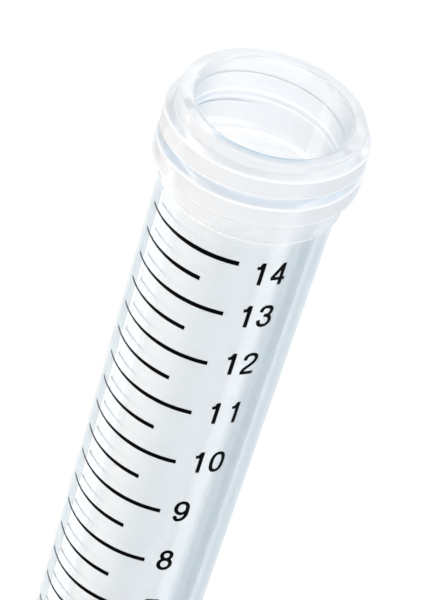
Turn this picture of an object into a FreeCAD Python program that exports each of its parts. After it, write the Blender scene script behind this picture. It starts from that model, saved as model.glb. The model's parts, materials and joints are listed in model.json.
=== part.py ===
import FreeCAD, Part
import math
import os

# A 15 ml conical tube, moulded in one piece of clear plastic: a tapered barrel
# that ends in a cone, and an open neck with a coarse screw thread for a cap.
# It is modelled upright with the underside of its tip at the origin, then laid
# down on its side, where it touches the floor at the thread and the shoulder.

# Driving dimensions, in millimetres and degrees.
barrel_length = 88.8        # shoulder of the cone up to the foot of the neck
barrel_top_radius = 8.52    # outside radius at the foot of the neck
barrel_draft = 0.522        # taper of the barrel, inside and outside
wall = 1.23                 # wall of the barrel
cone_length = 22.5          # underside of the tip up to the shoulder
shoulder_round = 5.0        # outside rounding between barrel and cone
tip_radius = 2.4            # outside radius of the blunt tip, before rounding
tip_round = 1.8             # rounding of the blunt tip
tip_floor = 1.9             # plastic under the bottom of the inside
tip_hollow_radius = 1.3     # radius of the inside's flat bottom, before rounding
tip_hollow_round = 1.1      # rounding of the inside's bottom

neck_length = 9.85          # foot of the neck up to the rim
neck_step = 0.36            # how far the neck stands out from the barrel
neck_blend = 1.0            # height over which the barrel widens to the neck
mouth_lead_in = 0.4         # rounding of the rim's inner edge
rim_round = 0.2             # rounding of the rim's outer edge

thread_lead = 3.2           # rise of the thread in one turn
thread_height = 0.96        # how far the ridge stands out from the neck
thread_gap = 0.4            # bare neck between one turn's foot and the next
thread_crest_width = 1.1    # width of the ridge at the edges of its crest
thread_crest_sag = 0.08     # how much the crest is rounded
thread_foot_gap = 1.65      # middle of the ridge's lower end, above the neck's blend
thread_rim_gap = 1.37       # middle of the ridge's upper end, below the rim
thread_start_angle = -12.0  # where the lower end lies round the neck
thread_lower_end = 60.0     # angle over which the lower end sinks into the neck
thread_upper_end = 30.0     # angle over which the upper end sinks into the neck
thread_step = 10.0          # angle between the sections that shape the ridge
thread_rooting = 0.4        # how far the ridge reaches into the neck's wall
flank_rooting = 0.1         # how far the flanks run on below the neck's surface
thread_end_depth = 0.1      # how far below the neck's surface the ridge ends

# Heights above the underside of the tip, with the tube upright.
shoulder_height = cone_length
neck_foot_height = shoulder_height + barrel_length
neck_full_height = neck_foot_height + neck_blend
rim_height = neck_foot_height + neck_length

draft_slope = math.tan(math.radians(barrel_draft))
shoulder_radius = barrel_top_radius - draft_slope * barrel_length
bore_radius = barrel_top_radius - wall
shoulder_bore_radius = shoulder_radius - wall
neck_radius = barrel_top_radius + neck_step

thread_crest_radius = neck_radius + thread_height
thread_base_width = thread_lead - thread_gap
thread_start_height = neck_full_height + thread_foot_gap
thread_rise = rim_height - thread_rim_gap - thread_start_height
thread_angle = 360 * thread_rise / thread_lead

match_tolerance = 1e-6      # how closely a round edge must match to be picked

origin = FreeCAD.Vector(0, 0, 0)
upward = FreeCAD.Vector(0, 0, 1)
sideways = FreeCAD.Vector(0, 1, 0)


def point(radius, height):
    """A point of a half section in the XZ plane."""
    return FreeCAD.Vector(radius, 0, height)


def turned(outline):
    """The solid made by turning a half section about the tube's axis."""
    face = Part.Face(Part.makePolygon(outline + outline[:1]))
    return face.revolve(origin, upward, 360)


def ring_edges(solid, radius, height):
    """The round edges of a solid that have this radius and lie at this height."""
    found = []
    for edge in solid.Edges:
        curve = edge.Curve
        if not isinstance(curve, Part.Circle):
            continue
        miss = abs(curve.Radius - radius) + abs(curve.Center.z - height)
        if miss < match_tolerance:
            found.append(edge)
    return found


def make_outside():
    """The tube's outer form without its thread, solid all through."""
    body = turned([
        point(0, 0),
        point(tip_radius, 0),
        point(shoulder_radius, shoulder_height),
        point(barrel_top_radius, neck_foot_height),
        point(neck_radius, neck_full_height),
        point(neck_radius, rim_height),
        point(0, rim_height),
    ])
    body = body.makeFillet(tip_round, ring_edges(body, tip_radius, 0))
    body = body.makeFillet(shoulder_round, ring_edges(body, shoulder_radius, shoulder_height))
    blend_edges = ring_edges(body, barrel_top_radius, neck_foot_height)
    blend_edges += ring_edges(body, neck_radius, neck_full_height)
    body = body.makeFillet(neck_blend, blend_edges)
    return body.makeFillet(rim_round, ring_edges(body, neck_radius, rim_height))


def make_inside():
    """The space inside: a straight bore in the neck, the barrel's taper and the cone."""
    space = turned([
        point(0, tip_floor),
        point(tip_hollow_radius, tip_floor),
        point(shoulder_bore_radius, shoulder_height),
        point(bore_radius, neck_foot_height),
        point(bore_radius, rim_height),
        point(0, rim_height),
    ])
    space = space.makeFillet(tip_hollow_round, ring_edges(space, tip_hollow_radius, tip_floor))
    inner_round = shoulder_round - wall
    return space.makeFillet(inner_round, ring_edges(space, shoulder_bore_radius, shoulder_height))


def ridge_drop(angle):
    """How far the ridge has sunk at an angle along it: 0 except near its two ends."""
    lower = angle / thread_lower_end
    upper = (thread_angle - angle) / thread_upper_end
    rise = min(1.0, lower, upper)
    eased = rise * rise * (3 - 2 * rise)
    return (1 - eased) * (thread_height + thread_end_depth)


def ridge_section(angle):
    """The thread's section at an angle along the ridge: rooted sides, flanks and a rounded crest."""
    drop = ridge_drop(angle)
    crest = thread_crest_radius - drop
    crest_edge = crest - thread_crest_sag
    flank_foot = neck_radius - flank_rooting - drop
    inner = neck_radius - thread_rooting - drop
    middle = thread_start_height + thread_lead * angle / 360
    half_crest = thread_crest_width / 2
    half_base = thread_base_width / 2
    flank_slope = (half_base - half_crest) / (thread_height - thread_crest_sag)
    half_foot = half_base + flank_slope * flank_rooting
    lower_flank = point(crest_edge, middle - half_crest)
    upper_flank = point(crest_edge, middle + half_crest)
    sides = Part.makePolygon([
        lower_flank,
        point(flank_foot, middle - half_foot),
        point(inner, middle - half_foot),
        point(inner, middle + half_foot),
        point(flank_foot, middle + half_foot),
        upper_flank,
    ])
    rounded_crest = Part.Arc(upper_flank, point(crest, middle), lower_flank)
    section = Part.Wire(sides.Edges + [rounded_crest.toShape()])
    section.rotate(origin, upward, thread_start_angle + angle)
    return section


def make_thread():
    """The right-handed ridge, lofted through its sections and kept below the rim's rounding."""
    count = round(thread_angle / thread_step)
    sections = [ridge_section(thread_angle * index / count) for index in range(count + 1)]
    ridge = Part.makeLoft(sections, True, False)
    band_height = neck_length - rim_round
    band = Part.makeCylinder(2 * thread_crest_radius, band_height, point(0, neck_foot_height))
    return ridge.common(band)


def make_mouth_cutter():
    """The sliver that rounds the rim's inner edge off into the bore."""
    corner = point(bore_radius, rim_height)
    on_rim = point(bore_radius + mouth_lead_in, rim_height)
    in_bore = point(bore_radius, rim_height - mouth_lead_in)
    diagonal = mouth_lead_in * math.sqrt(0.5)
    centre = point(bore_radius + mouth_lead_in, rim_height - mouth_lead_in)
    halfway = centre + FreeCAD.Vector(-diagonal, 0, diagonal)
    edges = [
        Part.makeLine(corner, on_rim),
        Part.Arc(on_rim, halfway, in_bore).toShape(),
        Part.makeLine(in_bore, corner),
    ]
    return Part.Face(Part.Wire(edges)).revolve(origin, upward, 360)


def lay_down(tube):
    """Lay the tube on its side, mouth towards +X, resting on its thread and its shoulder."""
    down_angle = -thread_start_angle % 360
    while down_angle < thread_lower_end:
        down_angle += 360
    crest_height = thread_start_height + thread_lead * down_angle / 360
    rise = thread_crest_radius - shoulder_radius
    tilt = math.degrees(math.atan2(rise, crest_height - shoulder_height))
    tube.rotate(origin, sideways, 90 - tilt)
    box = tube.optimalBoundingBox(False, False)
    tube.translate(FreeCAD.Vector(-box.Center.x, 0, -box.ZMin))
    return tube


tube = make_outside().fuse(make_thread())
tube = tube.cut(make_inside())
tube = tube.cut(make_mouth_cutter())
tube = lay_down(tube)

os.makedirs("parts", exist_ok=True)
tube.Solids[0].exportStep("parts/tube.step")
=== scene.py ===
import bmesh
import bpy
import json
import math
from mathutils import Matrix, Vector


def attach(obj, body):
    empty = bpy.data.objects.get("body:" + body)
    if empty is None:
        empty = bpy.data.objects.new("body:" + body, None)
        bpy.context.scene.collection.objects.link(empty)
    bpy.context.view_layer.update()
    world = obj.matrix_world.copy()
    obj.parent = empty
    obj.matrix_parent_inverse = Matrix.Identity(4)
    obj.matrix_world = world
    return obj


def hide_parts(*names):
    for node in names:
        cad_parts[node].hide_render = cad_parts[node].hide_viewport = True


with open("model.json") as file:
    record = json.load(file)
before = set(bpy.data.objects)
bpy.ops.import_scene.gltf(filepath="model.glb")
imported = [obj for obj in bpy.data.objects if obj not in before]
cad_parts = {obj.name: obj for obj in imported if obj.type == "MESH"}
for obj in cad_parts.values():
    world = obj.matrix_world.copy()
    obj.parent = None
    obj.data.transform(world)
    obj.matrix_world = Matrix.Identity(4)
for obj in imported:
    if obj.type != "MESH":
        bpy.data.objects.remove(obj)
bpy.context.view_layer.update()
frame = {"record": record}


# ---- The tube ----
# A 15 ml conical tube of clear, faintly milky plastic, moulded in one piece:
# a tapered barrel on a cone, and an open neck with a coarse screw thread.
# It is made standing on its tip, in millimetres, and then laid on its side.

mm = 0.001                   # the frame is in metres
tube_foot = (0, 0, 0)        # the underside of the tip
tube_axis = (0, 0, 1)
merge_distance = 0.0005
match_tolerance = 0.001

barrel_top_radius = 8.52
shoulder_radius = 7.711
wall = 1.23
tip_radius = 2.4
tip_floor = 1.9
tip_hollow_radius = 1.3
neck_radius = 8.88
bore_radius = barrel_top_radius - wall
shoulder_height = 22.5
neck_foot_height = 111.3
neck_step_foot = 111.95      # where the barrel's top steps out to the neck
barrel_flare = 0.03          # how far the barrel widens below that step
neck_full_height = 112.2
rim_height = 121.15
bore_length = 9.45           # the length that the record's mount gives
mouth_lead_in = 0.4          # the rounded part of the bore above the mount's length
mouth_rounding = 0.75        # how far the rim's inner edge is rounded here
tube_steps = 288

thread_lead = 3.2
thread_crest_radius = 9.8
thread_height = thread_crest_radius - neck_radius
thread_start_height = 113.95
thread_start_angle = -2.5    # in degrees, as the other angles; 0 is the underside
thread_angle = 655.9
thread_half_crest = 0.95
thread_half_base = 1.5
thread_lower_end = 75        # the degrees over which each end of the ridge runs out
thread_upper_end = 40
thread_rows = 110            # rows of vertices up the neck

# Half widths of the white highlight lines painted along the thread's crest edges and the neck's
# foot.
crest_highlight_half_width = 0.16
foot_highlight_half_width = 0.35
# The bluish line of painted shade on the upper side of the rim's inner edge.
mouth_shade_place = 0.62      # outwards from the bore, on the rim's rounded inner edge
mouth_shade_half_width = 0.36
mouth_shade_half_angle = 50
mouth_shade_fading = 30
bore_milk = 0.25             # the bore's milkiness, where the outside's is 1
barrel_face_depth = 0.1      # how far below the surface a vertex still counts as on it
neck_face_depth = 0.3

section_corners = [
    # radius, height, how far its rounding reaches along the lines, segments
    (0, 0, 0, 1),
    (tip_radius, 0, 1.3, 6),
    (shoulder_radius, shoulder_height, 0.6, 6),
    (barrel_top_radius, neck_foot_height, 0.2, 4),
    (barrel_top_radius + barrel_flare, neck_step_foot, 0.08, 4),
    (neck_radius, neck_full_height, 0.08, 4),
    (neck_radius, rim_height, 0.2, 5),
    (bore_radius, rim_height, mouth_rounding, 10),
    (bore_radius, neck_foot_height, 0, 1),
    (shoulder_radius - wall, shoulder_height, 0.45, 6),
    (tip_hollow_radius, tip_floor, 0.8, 6),
    (0, tip_floor, 0, 1),
]


def smooth_step(share):
    """A share that starts and ends gently, kept between 0 and 1."""
    share = min(1, max(0, share))
    return share * share * (3 - 2 * share)


def ridge_turns(angle):
    """The thread's turns at an angle round the neck: each one's height and its fullness."""
    turns = []
    along = (angle - thread_start_angle) % 360
    while along <= thread_angle:
        middle = thread_start_height + thread_lead * along / 360
        end = min(along / thread_lower_end, (thread_angle - along) / thread_upper_end)
        turns.append((middle, smooth_step(end)))
        along += 360
    return turns


def thread_rise(angle, height):
    """How far the thread stands out of the neck at a place on it."""
    rise = 0
    for middle, fullness in ridge_turns(angle):
        flank = thread_half_base - abs(height - middle)
        rise = max(rise, smooth_step(flank / (thread_half_base - thread_half_crest)) * fullness)
    return rise * thread_height


def edge_share(angle, height):
    """How near a place is to an edge of the thread's crest, or to the neck's foot, where a white
    highlight line is painted.
    """
    share = 1 - abs(height - neck_step_foot) / foot_highlight_half_width
    for middle, fullness in ridge_turns(angle):
        off_edge = abs(abs(height - middle) - thread_half_crest)
        share = max(share, fullness * (1 - off_edge / crest_highlight_half_width))
    return max(0, share)


def groove_share(angle, height):
    """How far a place on the neck lies down between the thread's two turns, where the milk is
    painted bluer as shade.
    """
    turns = ridge_turns(angle)
    if len(turns) < 2:
        return 0
    (lower_middle, lower_fullness), (upper_middle, upper_fullness) = turns
    if not lower_middle < height < upper_middle:
        return 0
    return lower_fullness * upper_fullness * (1 - thread_rise(angle, height) / thread_height)


def mouth_line_share(angle, radius):
    """How near a place is to the bluish line of painted shade along the upper side of the rim's
    inner edge.
    """
    across = 1 - abs(radius - bore_radius - mouth_shade_place) / mouth_shade_half_width
    off_middle = 180 - abs(angle)
    return max(0, across) * smooth_step((mouth_shade_half_angle - off_middle) / mouth_shade_fading)


def finished_piece(name, shape):
    """The object that a finished shape becomes."""
    mesh = bpy.data.meshes.new(name)
    shape.to_mesh(mesh)
    shape.free()
    piece = bpy.data.objects.new(name, mesh)
    bpy.context.scene.collection.objects.link(piece)
    return piece


tube_shape = bmesh.new()
corners = [tube_shape.verts.new((radius, 0, height)) for radius, height, _, _ in section_corners]
for pair in zip(corners, corners[1:]):
    tube_shape.edges.new(pair)
for corner, (_, _, reach, segments) in zip(corners, section_corners):
    if reach:
        bmesh.ops.bevel(tube_shape, geom=[corner], offset=reach, offset_type="OFFSET",
                        affect="VERTICES", segments=segments, profile=0.5, material=-1)
neck_line = [edge for edge in tube_shape.edges
             if all(abs(end.co.x - neck_radius) < match_tolerance for end in edge.verts)]
bmesh.ops.subdivide_edges(tube_shape, edges=neck_line, cuts=thread_rows)
bmesh.ops.spin(tube_shape, geom=tube_shape.verts[:] + tube_shape.edges[:], cent=tube_foot,
               axis=tube_axis, angle=2 * math.pi, steps=tube_steps, use_merge=True)
bmesh.ops.remove_doubles(tube_shape, verts=tube_shape.verts, dist=merge_distance)
bmesh.ops.recalc_face_normals(tube_shape, faces=tube_shape.faces)

# The shares that the plastic's finish follows are set on the vertices, and then the
# neck's vertices are moved out to form the thread.
outside = tube_shape.verts.layers.float.new("outside")
painted_highlight = tube_shape.verts.layers.float.new("painted_highlight")
groove_shade = tube_shape.verts.layers.float.new("groove_shade")
mouth_shade_line = tube_shape.verts.layers.float.new("mouth_shade_line")
for vertex in tube_shape.verts:
    radius, height = vertex.co.xy.length, vertex.co.z
    angle = math.degrees(math.atan2(vertex.co.y, vertex.co.x))
    off_bore = smooth_step((radius - bore_radius) / mouth_rounding)
    vertex[outside] = bore_milk + (1 - bore_milk) * off_bore
    if height > rim_height - mouth_rounding:
        # The rim's inner edge gets a bluish line of painted shade on its upper side.
        vertex[mouth_shade_line] = mouth_line_share(angle, radius)
    # White highlight lines are painted along the thread's crest edges and the neck's foot.
    if radius > barrel_top_radius - barrel_face_depth:
        vertex[painted_highlight] = edge_share(angle, height)
    if radius > neck_radius - neck_face_depth and height > neck_full_height:
        # The milk is painted bluer as shade down between the thread's turns.
        vertex[groove_shade] = groove_share(angle, height)
        vertex.co.xy *= 1 + thread_rise(angle, height) / radius

bore = next(mount for mount in frame["record"]["mounts"] if mount["name"] == "mouth_bore")
bore_axis = Vector(bore["axis"])
bore_middle = rim_height - mouth_lead_in - bore_length / 2
foot_place = Vector(bore["pos_m"]) - bore_axis * bore_middle * mm
lean = math.atan2(bore_axis.x, bore_axis.z)
lay_down = (Matrix.Translation(foot_place) @ Matrix.Rotation(lean, 4, "Y")
            @ Matrix.Scale(mm, 4))
bmesh.ops.transform(tube_shape, matrix=lay_down, verts=tube_shape.verts)
moulded_tube = finished_piece("moulded_tube", tube_shape)
moulded_tube.data.shade_smooth()

# The thin barrel looks clear, and the thicker head, from just below the neck, milky.
head_start = 0.0495          # in metres along X, as the tube lies
head_full = 0.0535
barrel_milk = 0.015
head_milk = 0.66
milk_let_through = 0.15      # how much of the milk's light comes through from behind
milk_white = (0.685, 0.7, 0.722, 1)
# The bluish painted shade for the milk between the thread's turns.
groove_shade_blue = (0.66, 0.725, 0.79, 1)
# The colour of the bluish line of painted shade at the rim's inner edge.
mouth_shade_blue = (0.33, 0.5, 0.62, 1)
plastic_ior = 1.49
slant_start = 0.34           # how edge-on the wall is seen where its tint sets in, 0 to 1
slant_full = 0.72
# Tints of the glass seen face-on and edge-on; the edge-on ones are partly the wall's longer path
# and partly painted shade.
barrel_facing_tint = (0.875, 0.89, 0.9, 1)
barrel_slanting_tint = (0.3, 0.41, 0.5, 1)
head_facing_tint = (0.94, 0.947, 0.955, 1)
head_slanting_tint = (0.68, 0.78, 0.86, 1)
least_haze = 0.025
most_haze = 0.055
highlight_white = (0.86, 0.87, 0.88, 1)
highlight_strength = 0.5
barrel_shadow = (1, 1, 1, 1)
head_shadow = (0.87, 0.875, 0.88, 1)
most_bounces = 4.5           # between 4 bounces and 5
no_diffuse_bounce = 0.5      # between none and 1
barrel_let_out_tint = (0.6, 0.72, 0.82, 1)
head_let_out_tint = (0.93, 0.96, 0.98, 1)


def fill_socket(tree, socket, source):
    """Link a socket to a node's output, or set it to a number or colour."""
    if isinstance(source, bpy.types.NodeSocket):
        tree.links.new(source, socket)
    else:
        socket.default_value = source


def object_place(tree):
    """The place on the piece, in metres."""
    return tree.nodes.new("ShaderNodeTexCoord").outputs["Object"]


def share_on_mesh(tree, name):
    """A share that was set on the piece's vertices."""
    attribute = tree.nodes.new("ShaderNodeAttribute")
    attribute.attribute_name = name
    return attribute.outputs["Fac"]


def fine_unevenness(tree, scale, detail):
    """The fine irregular pattern of a moulded or printed surface."""
    noise = tree.nodes.new("ShaderNodeTexNoise")
    noise.inputs["Scale"].default_value = scale
    noise.inputs["Detail"].default_value = detail
    tree.links.new(object_place(tree), noise.inputs["Vector"])
    return noise.outputs["Fac"]


def relief(tree, pattern, strength, distance):
    """A surface raised and lowered by a pattern."""
    bump = tree.nodes.new("ShaderNodeBump")
    bump.inputs["Strength"].default_value = strength
    bump.inputs["Distance"].default_value = distance
    tree.links.new(pattern, bump.inputs["Height"])
    return bump.outputs["Normal"]


def passage(tree, value, start, end, low=0, high=1, kind="SMOOTHSTEP"):
    """A number that goes from low to high while the value goes from start to end."""
    span = tree.nodes.new("ShaderNodeMapRange")
    span.interpolation_type = kind
    span.inputs["From Min"].default_value = start
    span.inputs["From Max"].default_value = end
    span.inputs["To Min"].default_value = low
    span.inputs["To Max"].default_value = high
    tree.links.new(value, span.inputs["Value"])
    return span.outputs["Result"]


def calculation(tree, operation, first, second):
    """What an operation makes of a node's output, and of another output or a number."""
    working = tree.nodes.new("ShaderNodeMath")
    working.operation = operation
    tree.links.new(first, working.inputs[0])
    fill_socket(tree, working.inputs[1], second)
    return working.outputs["Value"]


def mixed_colour(tree, share, first, second):
    """The first colour where the share is 0, and the second where it is 1."""
    mix = tree.nodes.new("ShaderNodeMix")
    mix.data_type = "RGBA"
    tree.links.new(share, mix.inputs["Factor"])
    fill_socket(tree, mix.inputs["A"], first)
    fill_socket(tree, mix.inputs["B"], second)
    return mix.outputs["Result"]


def mixed_finish(tree, share, first, second):
    """The first finish where the share is 0, and the second where it is 1."""
    mix = tree.nodes.new("ShaderNodeMixShader")
    fill_socket(tree, mix.inputs["Fac"], share)
    tree.links.new(first, mix.inputs[1])
    tree.links.new(second, mix.inputs[2])
    return mix.outputs["Shader"]


def plain_finish(tree, kind, colour):
    """A finish of one kind and colour."""
    finish = tree.nodes.new(kind)
    fill_socket(tree, finish.inputs["Color"], colour)
    return finish.outputs["BSDF"]


clear_plastic = bpy.data.materials.new("clear_plastic")
clear_plastic.use_nodes = True
tree = clear_plastic.node_tree
place_parts = tree.nodes.new("ShaderNodeSeparateXYZ")
tree.links.new(object_place(tree), place_parts.inputs["Vector"])
headward = passage(tree, place_parts.outputs["X"], head_start, head_full)

# The glass is tinted darker and bluer where the wall is seen edge-on: partly the longer path
# through the wall, partly painted shade for the dark surroundings that its edges show.
slant = tree.nodes.new("ShaderNodeLayerWeight")
slant.inputs["Blend"].default_value = 0.5
edge_on_share = passage(tree, slant.outputs["Facing"], slant_start, slant_full)
barrel_tint = mixed_colour(tree, edge_on_share, barrel_facing_tint, barrel_slanting_tint)
head_tint = mixed_colour(tree, edge_on_share, head_facing_tint, head_slanting_tint)
tube_tint = mixed_colour(tree, headward, barrel_tint, head_tint)
skin_waves = fine_unevenness(tree, scale=160, detail=3)
skin_relief = relief(tree, skin_waves, strength=0.25, distance=0.08 * mm)
haze = fine_unevenness(tree, scale=900, detail=4)
haze_roughness = passage(tree, haze, 0, 1, least_haze, most_haze, kind="LINEAR")
plastic = tree.nodes["Principled BSDF"]
plastic.inputs["IOR"].default_value = plastic_ior
plastic.inputs["Transmission Weight"].default_value = 1.0
tree.links.new(tube_tint, plastic.inputs["Base Color"])
tree.links.new(haze_roughness, plastic.inputs["Roughness"])
tree.links.new(skin_relief, plastic.inputs["Normal"])

# Painted shade: the milk is bluer down between the thread's turns.
groove_shaded_milk = mixed_colour(tree, share_on_mesh(tree, "groove_shade"), milk_white, groove_shade_blue)
# Painted shade: a bluish line along the upper side of the rim's inner edge.
milk_colour = mixed_colour(tree, share_on_mesh(tree, "mouth_shade_line"), groove_shaded_milk, mouth_shade_blue)
milk = mixed_finish(tree, milk_let_through,
                    plain_finish(tree, "ShaderNodeBsdfDiffuse", milk_colour),
                    plain_finish(tree, "ShaderNodeBsdfTranslucent", milk_colour))
milkiness = passage(tree, place_parts.outputs["X"], head_start, head_full, barrel_milk, head_milk)
outer_milkiness = calculation(tree, "MULTIPLY", milkiness, share_on_mesh(tree, "outside"))
milky_plastic = mixed_finish(tree, outer_milkiness, plastic.outputs["BSDF"], milk)

# Painted highlights: a pale diffuse finish mixed in along the thread's crest edges and the neck's
# foot.
highlight_finish = plain_finish(tree, "ShaderNodeBsdfDiffuse", highlight_white)
highlight_shown = calculation(tree, "MULTIPLY", share_on_mesh(tree, "painted_highlight"), highlight_strength)
highlighted_plastic = mixed_finish(tree, highlight_shown, milky_plastic, highlight_finish)

# Light that is still being thrown about inside the wall after some bounces is let
# out through it, tinted, where it would otherwise end as a dark patch.
light_path = tree.nodes.new("ShaderNodeLightPath")
trapped = calculation(tree, "GREATER_THAN", light_path.outputs["Ray Depth"], most_bounces)
seen_directly = calculation(tree, "LESS_THAN", light_path.outputs["Diffuse Depth"],
                            no_diffuse_bounce)
let_out = calculation(tree, "MULTIPLY", trapped, seen_directly)
let_out_tint = mixed_colour(tree, headward, barrel_let_out_tint, head_let_out_tint)
let_out_light = plain_finish(tree, "ShaderNodeBsdfTransparent", let_out_tint)
leaky_plastic = mixed_finish(tree, let_out, highlighted_plastic, let_out_light)

# The lamps' light goes straight through, so that the tube's shadow is a faint one.
shadow_tint = mixed_colour(tree, headward, barrel_shadow, head_shadow)
lamp_light = plain_finish(tree, "ShaderNodeBsdfTransparent", shadow_tint)
whole_finish = mixed_finish(tree, light_path.outputs["Is Shadow Ray"], leaky_plastic, lamp_light)
tree.links.new(whole_finish, tree.nodes["Material Output"].inputs["Surface"])

moulded_tube.data.materials.append(clear_plastic)
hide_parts("tube")
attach(moulded_tube, "root")


# ---- The scale's lines ----
# Black ink printed straight on the barrel: a long line for each whole ml and a
# short one for each half. Their heights follow the volume that the inside holds.

ink_sink = 0.01              # how far the ink reaches into the barrel, so that no gap shows
ink_thickness = 0.035
line_width = 0.46
line_far_width = 0.22        # what a line thins to, away from the digits
top_line_widths = {28: 0.51, 27: 0.49, 26: 0.47}  # broader lines, by half millilitres
line_arc_length = 11.4
print_middle = 180           # degrees round the tube: its upper side
long_line_end = 8.7          # degrees from there, towards the digits
short_line_end = -12.0
thinning_start = 18          # degrees from there, the other way
thinning_span = 40
line_steps = 40
top_volume = 14
top_line_height = 109.05
mm3_per_ml = 1000
cone_slope = (shoulder_radius - wall - tip_hollow_radius) / (shoulder_height - tip_floor)
barrel_slope = (barrel_top_radius - shoulder_radius) / (neck_foot_height - shoulder_height)


def outside_radius(height):
    """The tube's outside radius on its cone or its barrel."""
    if height < shoulder_height:
        return tip_radius + (shoulder_radius - tip_radius) * height / shoulder_height
    return shoulder_radius + barrel_slope * (height - shoulder_height)


def fill_height(volume):
    """How high the tube is filled by a volume in ml."""
    top_radius = outside_radius(top_line_height) - wall
    missing = 3 * barrel_slope * (top_volume - volume) * mm3_per_ml / math.pi
    height = top_line_height - (top_radius - (top_radius ** 3 - missing) ** (1 / 3)) / barrel_slope
    if height > shoulder_height:
        return height
    filled = 3 * cone_slope * volume * mm3_per_ml / math.pi
    radius = (tip_hollow_radius ** 3 + filled) ** (1 / 3)
    return tip_floor + (radius - tip_hollow_radius) / cone_slope


def joined_vertices(vertices):
    """These vertices, and all that edges join to them."""
    found = set(vertices)
    reached = list(vertices)
    while reached:
        for edge in reached.pop().link_edges:
            for vertex in edge.verts:
                if vertex not in found:
                    found.add(vertex)
                    reached.append(vertex)
    return list(found)


scale_shape = bmesh.new()
for half_ml in range(1, 2 * top_volume + 1):
    height = fill_height(half_ml / 2)
    line_end = long_line_end if half_ml % 2 == 0 else short_line_end
    line_start = long_line_end - math.degrees(line_arc_length / outside_radius(height))
    bottom, top = height - line_width / 2, height + line_width / 2
    section = [scale_shape.verts.new(place) for place in (
        (outside_radius(bottom) - ink_sink, 0, bottom),
        (outside_radius(bottom) - ink_sink + ink_thickness, 0, bottom),
        (outside_radius(top) - ink_sink + ink_thickness, 0, top),
        (outside_radius(top) - ink_sink, 0, top),
    )]
    end_face = scale_shape.faces.new(section)
    bmesh.ops.spin(scale_shape, geom=section + end_face.edges[:] + [end_face],
                   cent=tube_foot, axis=tube_axis, angle=math.radians(line_start - line_end),
                   steps=line_steps)
    line_vertices = joined_vertices(end_face.verts)
    near_width = top_line_widths.get(half_ml, line_width)
    for vertex in line_vertices:
        past_middle = -line_end - math.degrees(math.atan2(vertex.co.y, vertex.co.x))
        thinning = smooth_step((past_middle - thinning_start) / thinning_span)
        width = near_width + (line_far_width - near_width) * thinning
        vertex.co.z = height + (vertex.co.z - height) * width / line_width
    bmesh.ops.rotate(scale_shape, verts=line_vertices, cent=tube_foot,
                     matrix=Matrix.Rotation(math.radians(print_middle + line_end), 3, "Z"))
bmesh.ops.recalc_face_normals(scale_shape, faces=scale_shape.faces)
bmesh.ops.transform(scale_shape, matrix=lay_down, verts=scale_shape.verts)
scale_lines = finished_piece("scale_lines", scale_shape)

dense_ink = (0.0003, 0.0003, 0.0004, 1)
thin_ink = (0.0014, 0.0014, 0.0018, 1)
ink_roughness = 0.2
ink_gloss = 0.04

scale_ink = bpy.data.materials.new("scale_ink")
scale_ink.use_nodes = True
tree = scale_ink.node_tree
ink_grain = fine_unevenness(tree, scale=5000, detail=3)
ink_colour = mixed_colour(tree, ink_grain, dense_ink, thin_ink)
ink_relief = relief(tree, ink_grain, strength=0.3, distance=0.01 * mm)
ink = tree.nodes["Principled BSDF"]
ink.inputs["Roughness"].default_value = ink_roughness
ink.inputs["Specular IOR Level"].default_value = ink_gloss
tree.links.new(ink_colour, ink.inputs["Base Color"])
tree.links.new(ink_relief, ink.inputs["Normal"])
scale_lines.data.materials.append(scale_ink)
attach(scale_lines, "root")


# ---- The scale's digits ----
# The same ink: plain upright digits to the right of the long lines, drawn with a
# broad pen and wrapped on the barrel, their heads towards the mouth.

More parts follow.
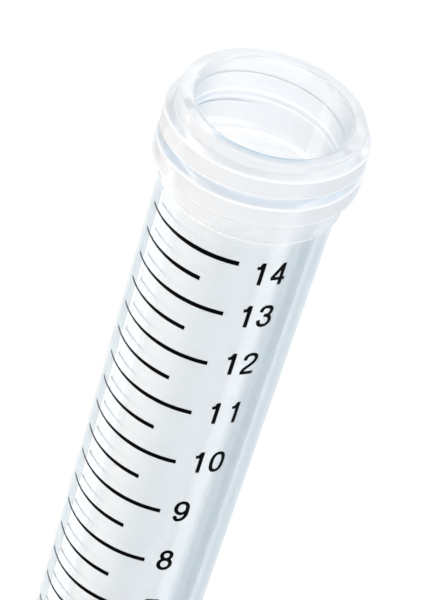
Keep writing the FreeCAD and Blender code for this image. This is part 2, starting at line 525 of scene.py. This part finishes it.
pen_width = 0.4
digit_advance = 2.05         # from one digit of a number to the next
digit_middle = 1.15          # half of a digit's height
digits_start = 17.4          # degrees from the print's middle
usual_label_lift = 0.25      # how far a number's middle lies above its line
label_lifts = {14: -0.9, 13: 0.0}
digit_pen_lines = {
    # each line of the pen: closed or open, and the places that it goes through
    "0": [(True, [(0.20, 1.15), (0.79, 2.30), (1.38, 1.15), (0.79, 0)])],
    "1": [(False, [(1.08, -0.17), (1.08, 2.48)]),
          (False, [(0.50, 1.82), (0.80, 1.88), (1.02, 2.30)])],
    "2": [(False, [(0.22, 1.58), (0.36, 2.10), (0.80, 2.30), (1.30, 2.05),
                   (1.34, 1.52), (0.95, 1.0), (0.42, 0.52), (0.20, 0.02)]),
          (False, [(0.06, 0), (1.42, 0)])],
    "3": [(False, [(0.24, 1.68), (0.40, 2.16), (0.80, 2.30), (1.22, 2.12),
                   (1.26, 1.55), (0.98, 1.28), (0.62, 1.24)]),
          (False, [(0.80, 1.26), (1.18, 1.10), (1.38, 0.66), (1.20, 0.17),
                   (0.79, 0), (0.36, 0.16), (0.20, 0.68)])],
    "4": [(False, [(1.10, -0.17), (1.10, 2.46)]),
          (False, [(1.08, 2.30), (0.16, 0.62)]),
          (False, [(0.06, 0.60), (1.50, 0.60)])],
    "5": [(False, [(0.42, 2.28), (1.34, 2.28)]),
          (False, [(0.46, 2.36), (0.28, 1.06)]),
          (False, [(0.28, 1.10), (0.78, 1.48), (1.26, 1.26), (1.38, 0.74),
                   (1.22, 0.2), (0.76, 0), (0.34, 0.16), (0.20, 0.6)])],
    "6": [(True, [(0.79, 1.46), (1.38, 0.74), (0.79, 0), (0.22, 0.72)]),
          (False, [(1.32, 1.80), (1.10, 2.22), (0.82, 2.30), (0.34, 1.92),
                   (0.20, 1.10), (0.26, 0.6)])],
    "7": [(False, [(0.10, 2.28), (1.44, 2.28)]),
          (False, [(1.38, 2.24), (0.86, 1.2), (0.62, -0.17)])],
    "8": [(True, [(0.79, 2.30), (1.27, 1.78), (0.79, 1.26), (0.31, 1.78)]),
          (True, [(0.79, 1.26), (1.38, 0.64), (0.79, 0), (0.20, 0.64)])],
    "9": [(True, [(0.79, 2.30), (1.36, 1.58), (0.79, 0.84), (0.20, 1.56)]),
          (False, [(1.32, 1.7), (1.38, 1.2), (1.24, 0.38), (0.76, 0),
                   (0.48, 0.08), (0.26, 0.50)])],
}


def drawn_digit(digit):
    """The flat digit's mesh: a round pen led along the digit's lines."""
    drawn = bpy.data.curves.new("digit_" + digit, "CURVE")
    drawn.dimensions = "3D"
    drawn.bevel_depth = pen_width / 2
    drawn.bevel_resolution = 2
    drawn.use_fill_caps = True
    drawn.resolution_u = 8
    for closed, places in digit_pen_lines[digit]:
        pen_line = drawn.splines.new("BEZIER")
        pen_line.bezier_points.add(len(places) - 1)
        for point, (across, up) in zip(pen_line.bezier_points, places):
            point.co = (across, up, 0)
            point.handle_left_type = point.handle_right_type = "AUTO"
        pen_line.use_cyclic_u = closed
    drawing = bpy.data.objects.new("digit_" + digit, drawn)
    bpy.context.scene.collection.objects.link(drawing)
    bpy.context.view_layer.update()
    depsgraph = bpy.context.evaluated_depsgraph_get()
    mesh = bpy.data.meshes.new_from_object(drawing.evaluated_get(depsgraph))
    bpy.data.objects.remove(drawing)
    bpy.data.curves.remove(drawn)
    return mesh


digit_meshes = {digit: drawn_digit(digit) for digit in digit_pen_lines}
digit_shape = bmesh.new()
for whole_ml in range(1, top_volume + 1):
    height = fill_height(whole_ml) + label_lifts.get(whole_ml, usual_label_lift)
    for place, digit in enumerate(str(whole_ml)):
        before = len(digit_shape.verts)
        digit_shape.from_mesh(digit_meshes[digit])
        digit_shape.verts.ensure_lookup_table()
        for vertex in digit_shape.verts[before:]:
            across, up, out = vertex.co
            up += height - digit_middle
            barrel_radius = outside_radius(up)
            radius = barrel_radius - ink_sink + ink_thickness * (0.5 + out / pen_width)
            turned = (across + digit_advance * place) / barrel_radius
            angle = math.radians(print_middle + digits_start) + turned
            vertex.co = (radius * math.cos(angle), radius * math.sin(angle), up)
for mesh in digit_meshes.values():
    bpy.data.meshes.remove(mesh)
bmesh.ops.remove_doubles(digit_shape, verts=digit_shape.verts, dist=merge_distance)
bmesh.ops.recalc_face_normals(digit_shape, faces=digit_shape.faces)
bmesh.ops.transform(digit_shape, matrix=lay_down, verts=digit_shape.verts)
scale_digits = finished_piece("scale_digits", digit_shape)
scale_digits.data.materials.append(scale_ink)
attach(scale_digits, "root")


# ---- The floor and the light ----
# A plain pale floor without gloss, under soft studio light: a broad lamp beyond the
# mouth, a lamp at each side, and a card and two strips that only show as reflections
# in the plastic. The room is darker ahead and behind than at its two sides.

floor_reach = 20
floor_colour = (0.9, 0.9, 0.9, 1)
room_colours = [
    # how far across the room, from its right side to its left, and the colour there
    (0.05, (0.48, 0.54, 0.6, 1)),
    (0.25, (0.42, 0.46, 0.5, 1)),
    (0.5, (0.25, 0.25, 0.25, 1)),
    (0.75, (0.5, 0.49, 0.48, 1)),
    (0.92, (1.0, 0.98, 0.95, 1)),
]

floor_shape = bmesh.new()
bmesh.ops.create_grid(floor_shape, x_segments=1, y_segments=1, size=floor_reach)
floor = finished_piece("floor", floor_shape)
pale_floor = bpy.data.materials.new("pale_floor")
pale_floor.use_nodes = True
floor_finish = pale_floor.node_tree.nodes["Principled BSDF"]
floor_finish.inputs["Base Color"].default_value = floor_colour
floor_finish.inputs["Roughness"].default_value = 1.0
floor_finish.inputs["Specular IOR Level"].default_value = 0.0
floor.data.materials.append(pale_floor)

studio = bpy.data.worlds.new("studio")
studio.use_nodes = True
tree = studio.node_tree
direction = tree.nodes.new("ShaderNodeTexCoord")
direction_parts = tree.nodes.new("ShaderNodeSeparateXYZ")
tree.links.new(direction.outputs["Generated"], direction_parts.inputs["Vector"])
leftward = passage(tree, direction_parts.outputs["Y"], -1, 1, kind="LINEAR")
room = tree.nodes.new("ShaderNodeValToRGB")
room.color_ramp.interpolation = "EASE"
for end, (position, colour) in zip(room.color_ramp.elements, (room_colours[0], room_colours[-1])):
    end.position, end.color = position, colour
for position, colour in room_colours[1:-1]:
    room.color_ramp.elements.new(position).color = colour
tree.links.new(leftward, room.inputs["Fac"])
tree.links.new(room.outputs["Color"], tree.nodes["Background"].inputs["Color"])
tree.nodes["Background"].inputs["Strength"].default_value = 1.0
bpy.context.scene.world = studio
bpy.context.scene.view_settings.view_transform = "Standard"


def soft_light(name, place, aim, size, brightness, colour=(1, 1, 1)):
    """An evenly bright rectangle that faces its aim, and that the camera can't see."""
    lamp = bpy.data.lights.new(name, "AREA")
    lamp.shape = "RECTANGLE"
    lamp.size, lamp.size_y = size
    lamp.energy = math.pi * math.prod(size) * brightness
    lamp.color = colour
    light = bpy.data.objects.new(name, lamp)
    light.location = place
    light.rotation_euler = (Vector(aim) - Vector(place)).to_track_quat("-Z", "Y").to_euler()
    light.visible_camera = False
    bpy.context.scene.collection.objects.link(light)
    return light


soft_light("front_light", place=(1.2, 0, 1.3), aim=(0, 0, 0), size=(2, 2), brightness=2.7)
left_light = soft_light("left_light", place=(-0.13, 0.12, 0.1), aim=(-0.13, 0, 0),
                        size=(0.36, 0.12), brightness=1.8, colour=(1, 0.84, 0.7))
right_light = soft_light("right_light", place=(0.3, -1, 0.5), aim=(0, 0, 0),
                         size=(1, 0.6), brightness=2.85, colour=(1, 0.965, 0.92))
for side_light in (left_light, right_light):
    side_light.visible_glossy = False
    side_light.visible_transmission = False
left_card = soft_light("left_card", place=(0, 0.0355, 0.0102), aim=(0, 0, 0.0436),
                       size=(0.3, 0.027), brightness=1.6, colour=(1, 0.93, 0.88))
left_card.visible_diffuse = False
for strip_name, strip_width in (("narrow_strip", 0.14), ("wide_strip", 0.27)):
    strip = soft_light(strip_name, place=(0, -0.467, 0.228), aim=(0, 0, 0),
                       size=(1.2, strip_width), brightness=0.65)
    strip.visible_diffuse = False
    strip.visible_transmission = False


# ---- The camera ----
# A long lens that looks down along the tube's upper half from the side that bears
# the scale, turned so that the tube leans to the right and its cone stays out of view.

camera_place = (0.261131, 0, 0.317618)
camera_heading = 89.976
camera_tilt = 36.015
camera_roll = -162.492

camera = bpy.data.objects.new("camera", bpy.data.cameras.new("camera"))
camera.data.lens = 241.05
camera.data.sensor_width = 36
camera.data.clip_start = 0.01
camera.data.clip_end = 50
camera.location = camera_place
camera.rotation_euler = (Matrix.Rotation(math.radians(camera_heading), 3, "Z")
                         @ Matrix.Rotation(math.radians(camera_tilt), 3, "X")
                         @ Matrix.Rotation(math.radians(camera_roll), 3, "Z")).to_euler()
bpy.context.scene.collection.objects.link(camera)
bpy.context.scene.camera = camera
